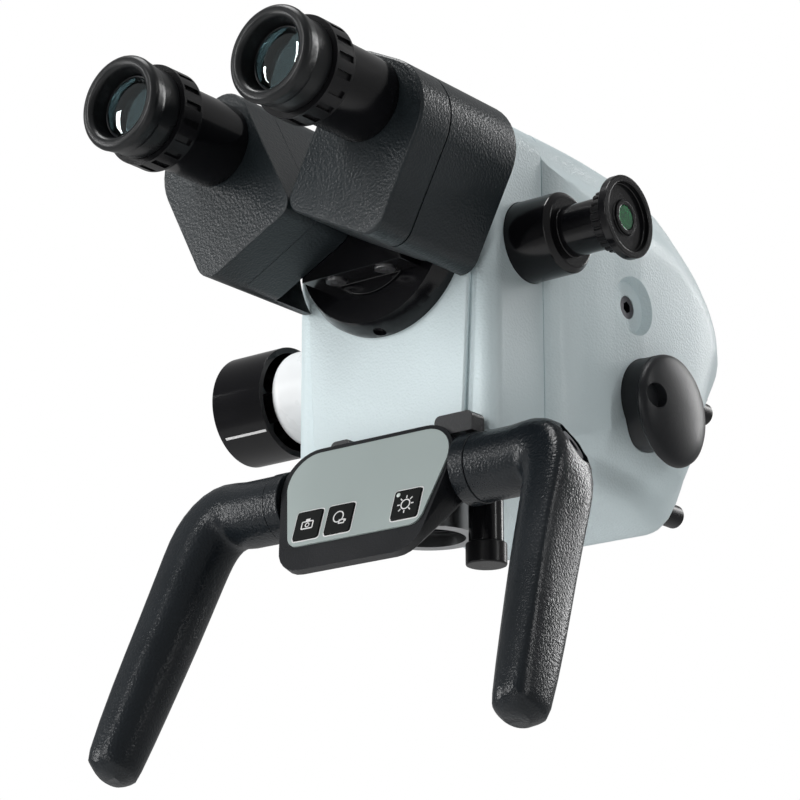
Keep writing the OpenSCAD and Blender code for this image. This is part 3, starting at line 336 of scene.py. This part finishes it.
EYE_GLASS = glass_of("eye_glass", (0.62, 0.70, 0.72), 0.0)
PRISM_GLASS = glass_of("prism_glass", (0.85, 0.93, 0.95), 0.0)
PORT_GLASS = glass_of("port_glass", (0.13, 0.74, 0.22), 0.02)

FINISH_OF_SLOT = {
    "housing_white": HOUSING_PAINT, "boss_white": BOSS_WHITE, "box_black": BOX_BLACK,
    "gloss_black": GLOSS_BLACK, "knob_black": KNOB_BLACK, "rubber_black": RUBBER_BLACK,
    "grip_black": GRIP_BLACK, "control_black": CONTROL_BLACK, "membrane_grey": MEMBRANE_GREY,
    "index_white": LINE_WHITE, "steel": TURNED_STEEL, "screw_dark": DARK_STEEL,
    "bare_alloy": BARE_ALLOY, "dark_alloy": DARK_ALLOY, "ring_alloy": RING_ALLOY,
    "eye_glass": EYE_GLASS, "prism_glass": PRISM_GLASS, "port_glass": PORT_GLASS,
}
FINISH_OF_NODE = {
    "knob_sleeve": MIRROR_BLACK, "friction_disc": SATIN_BLACK, "friction_collar": SATIN_BLACK,
    "key_photo": KEY_BLACK, "key_record": KEY_BLACK, "key_light": KEY_BLACK,
}
slot_of_node = {s["node"]: s["material_slot"] for s in frame["record"]["subparts"]}


def finish_for(node):
    return FINISH_OF_NODE.get(node, FINISH_OF_SLOT[slot_of_node[node]])


def dress_nodes():
    for name, holder in frame["nodes"].items():
        holder.data.materials.clear()
        holder.data.materials.append(finish_for(name))


# Making pieces

SMOOTH_ANGLE = 35
EASED_ANGLE = 30
EASING_STEPS = 2
SAME_POINT = 0.000004
SAME_POINT_TURNED = 0.000002
FLAT_ANGLE = 0.6
RIM_FLATNESS = 0.000005


def piece(name, build, paint, body, smooth_angle=SMOOTH_ANGLE):
    """Turns a finished bmesh into a piece of the object that rides on a body."""
    bmesh.ops.recalc_face_normals(build, faces=build.faces)
    for face in build.faces:
        face.smooth = True
    for edge in build.edges:
        edge.smooth = not edge.is_manifold or edge.calc_face_angle(0) < radians(smooth_angle)
    mesh = bpy.data.meshes.new(name)
    build.to_mesh(mesh)
    build.free()
    mesh.materials.append(paint)
    made = bpy.data.objects.new(name, mesh)
    bpy.context.scene.collection.objects.link(made)
    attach(made, body)
    return made


def soft_edges(made, width):
    bevel = made.modifiers.new("soft_edges", "BEVEL")
    bevel.width = width * MM
    bevel.segments = EASING_STEPS
    bevel.limit_method = "ANGLE"
    bevel.angle_limit = radians(EASED_ANGLE)
    bevel.harden_normals = True
    flat = made.modifiers.new("even_faces", "WEIGHTED_NORMAL")
    flat.keep_sharp = True


def refill_rim(build):
    """Fills a side shell's flat rim again where it meets the spine, so that no face folds over."""
    level = min(abs(vert.co.x) for vert in build.verts)
    rim = [face for face in build.faces
           if all(abs(abs(vert.co.x) - level) < RIM_FLATNESS for vert in face.verts)]
    bmesh.ops.delete(build, geom=rim, context="FACES")
    border = [edge for edge in build.edges if edge.is_boundary]
    bmesh.ops.triangle_fill(build, edges=border, use_beauty=True)


def rounded_node(node, width):
    """A node's own shape with its hard edges eased, as moulding and machining leave them."""
    build = bmesh.new()
    build.from_mesh(frame["nodes"][node].data)
    bmesh.ops.remove_doubles(build, verts=build.verts, dist=SAME_POINT)
    if width:
        bmesh.ops.dissolve_limit(build, angle_limit=radians(FLAT_ANGLE), verts=build.verts,
                                 edges=build.edges)
    if node.endswith("_shell"):
        refill_rim(build)
    made = piece(node + "_eased", build, finish_for(node), body_of_node[node])
    if width:
        soft_edges(made, width)
    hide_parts(node)
    return made


# Printed symbols, drawn flat in millimetres and then raised off the face that carries them

PRINT_HEIGHT = 0.05
RING_SIDES = 32
CORNER_STEPS = 4
FACE_LEAN = 18
ACROSS = Vector((1, 0, 0))
UPWARD = Vector((0, sin(radians(FACE_LEAN)), cos(radians(FACE_LEAN))))
OUTWARD = Vector((0, -cos(radians(FACE_LEAN)), sin(radians(FACE_LEAN))))


def span_along(node, direction):
    reach = [vert.co.dot(direction) for vert in frame["nodes"][node].data.vertices]
    return min(reach), max(reach)


def face_pose(node, level_node=None):
    """The middle of a key on the leaning control face, at its top or another node's top."""
    middle = ACROSS * sum(span_along(node, ACROSS)) / 2
    middle += UPWARD * sum(span_along(node, UPWARD)) / 2
    middle += OUTWARD * span_along(level_node or node, OUTWARD)[1]
    pose = Matrix((ACROSS, UPWARD, OUTWARD)).transposed().to_4x4()
    pose.translation = middle
    return pose @ Matrix.Scale(MM, 4)


def hollow_out(build, verts, stroke):
    """Leaves only a rim of the stroke's width of a flat outline."""
    inner = list({face for vert in verts for face in vert.link_faces})
    bmesh.ops.inset_region(build, faces=inner, thickness=stroke, use_even_offset=True,
                           use_boundary=True)
    bmesh.ops.delete(build, geom=inner, context="FACES_ONLY")


def join_into(target, part, place):
    """Adds a small drawing to a larger one at a place."""
    bmesh.ops.transform(part, matrix=place, verts=part.verts)
    carrier = bpy.data.meshes.new("carrier")
    part.to_mesh(carrier)
    part.free()
    target.from_mesh(carrier)
    bpy.data.meshes.remove(carrier)


def draw_ring(target, x, y, radius, stroke):
    part = bmesh.new()
    made = bmesh.ops.create_circle(part, cap_ends=True, radius=radius + stroke / 2,
                                   segments=RING_SIDES)
    hollow_out(part, made["verts"], stroke)
    join_into(target, part, Matrix.Translation((x, y, 0)))


def draw_panel(target, x, y, width, height, turn=0, corner=0, stroke=0):
    """A flat bar, or with a stroke a frame, with rounded corners if asked for."""
    part = bmesh.new()
    bmesh.ops.create_grid(part, x_segments=1, y_segments=1, size=0.5,
                          matrix=Matrix.Diagonal((width, height, 1, 1)))
    if corner:
        bmesh.ops.bevel(part, geom=part.verts[:], offset=corner, segments=CORNER_STEPS,
                        profile=0.5, affect="VERTICES")
    if stroke:
        hollow_out(part, part.verts[:], stroke)
    join_into(target, part, Matrix.Translation((x, y, 0)) @ Matrix.Rotation(turn, 4, "Z"))


def printed(name, drawing, pose, body):
    """Gives a flat drawing its thickness and sets it on the face."""
    bmesh.ops.recalc_face_normals(drawing, faces=drawing.faces)
    bmesh.ops.solidify(drawing, geom=drawing.faces[:], thickness=PRINT_HEIGHT)
    lowest = min(vert.co.z for vert in drawing.verts)
    bmesh.ops.translate(drawing, verts=drawing.verts, vec=(0, 0, -lowest))
    bmesh.ops.transform(drawing, matrix=pose, verts=drawing.verts)
    return piece(name, drawing, LINE_WHITE, body)


SYMBOL_STROKE = 0.5
CAMERA_WIDTH = 5.8
CAMERA_DROP = 0.2
RECORDER_RING_R = 2.3
LAMP_RING_R = 2.0
LAMP_DROP = 0.3
RAYS = 8
RAY_MIDDLE_R = 3.2
RAY_LENGTH = 1.2
KEY_NODES = ("key_photo", "key_record", "key_light")
OUTLINE_GAP = 0.15
OUTLINE_STROKE = 0.5
OUTLINE_CORNER = 1.7


def draw_camera(target, x, y, width):
    """A camera's body, finder and lens, all in shares of its width."""
    height = width * 0.62
    draw_panel(target, x, y, width, height, corner=width * 0.1, stroke=SYMBOL_STROKE)
    draw_panel(target, x, y + height / 2 + width * 0.07, width * 0.36, width * 0.16)
    draw_ring(target, x, y, width * 0.15, SYMBOL_STROKE * 0.8)


def make_key_prints():
    camera = bmesh.new()
    draw_camera(camera, 0, -CAMERA_DROP, CAMERA_WIDTH)
    printed("camera_symbol", camera, face_pose("key_photo"), "photo_key")

    recorder = bmesh.new()
    draw_ring(recorder, -0.3, 0.7, RECORDER_RING_R, SYMBOL_STROKE)
    draw_panel(recorder, 1.7, -1.6, 3.0, 2.0, corner=0.3, stroke=SYMBOL_STROKE)
    draw_panel(recorder, 3.4, -1.3, 0.7, 1.0)
    printed("record_symbol", recorder, face_pose("key_record"), "record_key")

    sun = bmesh.new()
    draw_ring(sun, 0, -LAMP_DROP, LAMP_RING_R, SYMBOL_STROKE)
    for ray in range(RAYS):
        turn = ray * 2 * pi / RAYS
        draw_panel(sun, RAY_MIDDLE_R * cos(turn), RAY_MIDDLE_R * sin(turn) - LAMP_DROP,
                   RAY_LENGTH, SYMBOL_STROKE, turn=turn)
    printed("lamp_symbol", sun, face_pose("key_light"), "light_key")

    for node in KEY_NODES:
        left, right = span_along(node, ACROSS)
        border = bmesh.new()
        outer = (right - left) / MM + 2 * (OUTLINE_GAP + OUTLINE_STROKE)
        draw_panel(border, 0, 0, outer, outer, corner=OUTLINE_CORNER, stroke=OUTLINE_STROKE)
        printed(node + "_border", border, face_pose(node, "control_membrane"), "head")


INDICATOR_R = 0.9
INDICATOR_PLACE = (-4.3, 4.3)
INDICATOR_FLATNESS = 0.35


def make_indicator():
    """The small pale lamp in the corner of the light key."""
    dome = bmesh.new()
    bmesh.ops.create_uvsphere(dome, u_segments=24, v_segments=12, radius=INDICATOR_R)
    bmesh.ops.bisect_plane(dome, geom=dome.verts[:] + dome.edges[:] + dome.faces[:],
                           plane_co=(0, 0, 0), plane_no=(0, 0, -1), clear_outer=True)
    bmesh.ops.holes_fill(dome, edges=[edge for edge in dome.edges if edge.is_boundary])
    flat = Matrix.Diagonal((1, 1, INDICATOR_FLATNESS, 1))
    seat = face_pose("key_light") @ Matrix.Translation((*INDICATOR_PLACE, 0))
    bmesh.ops.transform(dome, matrix=seat @ flat, verts=dome.verts)
    piece("light_indicator", dome, PALE_LAMP, "light_key")


# Eyepiece glass

LENS_DOME = 2.2
LENS_AHEAD = 5.0
DOME_STEPS = 8
LENS_SMOOTH_ANGLE = 50
RETAINER_SMOOTH_ANGLE = 30
RETAINER_WIDTH = 1.0
RETAINER_RISE = 0.6
RETAINER_OVER_GLASS = 0.1
RETAINER_FOOT = 0.2
RETAINER_FLARE = 0.15
RETAINER_GAP = 0.02
RETAINER_SEAT = 0.05
TURNED_STEPS = 64


def turned(profile, place):
    """Turns a profile of (radius, distance towards the user) in mm about an eyepiece's axis."""
    build = bmesh.new()
    verts = [build.verts.new((radius * MM, -ahead * MM, 0)) for radius, ahead in profile]
    edges = [build.edges.new(pair) for pair in zip(verts, verts[1:])]
    bmesh.ops.spin(build, geom=verts + edges, cent=(0, 0, 0), axis=(0, 1, 0), angle=2 * pi,
                   steps=TURNED_STEPS, use_duplicate=False)
    bmesh.ops.remove_doubles(build, verts=build.verts, dist=SAME_POINT_TURNED)
    bmesh.ops.translate(build, verts=build.verts, vec=place)
    return build


def make_eye_lens(side):
    node = side + "_eye_lens"
    low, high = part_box(node)
    radius = (high.x - low.x) / 2 / MM
    thick = (high.y - low.y) / MM
    front = Vector(((low.x + high.x) / 2, low.y, (low.z + high.z) / 2))
    leans = [step * pi / 2 / DOME_STEPS for step in range(DOME_STEPS + 1)]
    crown = [(radius * sin(lean), LENS_DOME * cos(lean) + LENS_AHEAD) for lean in leans]
    lens = turned(crown + [(radius, -thick), (0, -thick)], front)
    made = piece(side + "_domed_lens", lens, EYE_GLASS, side + "_dioptre",
                 LENS_SMOOTH_ANGLE)
    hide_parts(node)
    lip = radius - RETAINER_WIDTH
    glass_at_lip = LENS_AHEAD + LENS_DOME * (1 - (lip / radius) ** 2)
    lip_point = (lip, glass_at_lip + RETAINER_OVER_GLASS)
    ring = [lip_point, (radius, LENS_AHEAD + RETAINER_RISE),
            (radius + RETAINER_WIDTH / 2, LENS_AHEAD), (radius + RETAINER_FLARE, RETAINER_FOOT),
            (radius + RETAINER_GAP, RETAINER_FOOT),
            (radius + RETAINER_GAP, LENS_AHEAD + RETAINER_SEAT), lip_point]
    piece(side + "_lens_retainer", turned(ring, front), SATIN_BLACK, side + "_dioptre",
          RETAINER_SMOOTH_ANGLE)


# The microscope put together

# width in mm by which each piece's edges are eased, where 0 keeps the node's own shape
EASED = {
    "front_casing": 0.8, "front_panel": 0.7, "rear_casing": 0, "right_shell": 0,
    "left_shell": 0, "mount_ring": 0.5, "binocular_base": 0.8,
    "right_prism_cover": 0.9, "left_prism_cover": 0.9,
    "right_prism_housing": 0.5, "left_prism_housing": 0.5,
    "right_tube": 0.4, "left_tube": 0.4, "right_eyecup": 0.5, "left_eyecup": 0.5,
    "right_dioptre_ring": 0.25, "left_dioptre_ring": 0.25,
    "knob_boss": 0.6, "knob_sleeve": 0.8, "port_body": 0.5, "port_flange": 0.5,
    "port_ring": 0.25, "friction_collar": 0.5, "friction_disc": 0.4,
    "objective_barrel": 0.4, "objective_ring": 0.4, "lower_knob_stem": 0.4,
    "lower_knob_cap": 0.7, "control_bracket": 0.5, "control_body": 0.6,
    "control_membrane": 0.15, "key_photo": 0.3, "key_record": 0.3, "key_light": 0.3,
    "grip_collars": 0.5, "right_grip": 0, "left_grip": 0,
}

place_camera()
light_world()
lay_floor()
for lamp_values in LAMPS:
    soft_box(*lamp_values)

dress_nodes()
for eased_node, eased_width in EASED.items():
    rounded_node(eased_node, eased_width)
make_key_prints()
make_indicator()
make_eye_lens("right")
make_eye_lens("left")

bpy.context.scene.view_settings.view_transform = "Standard"
bpy.context.view_layer.update()
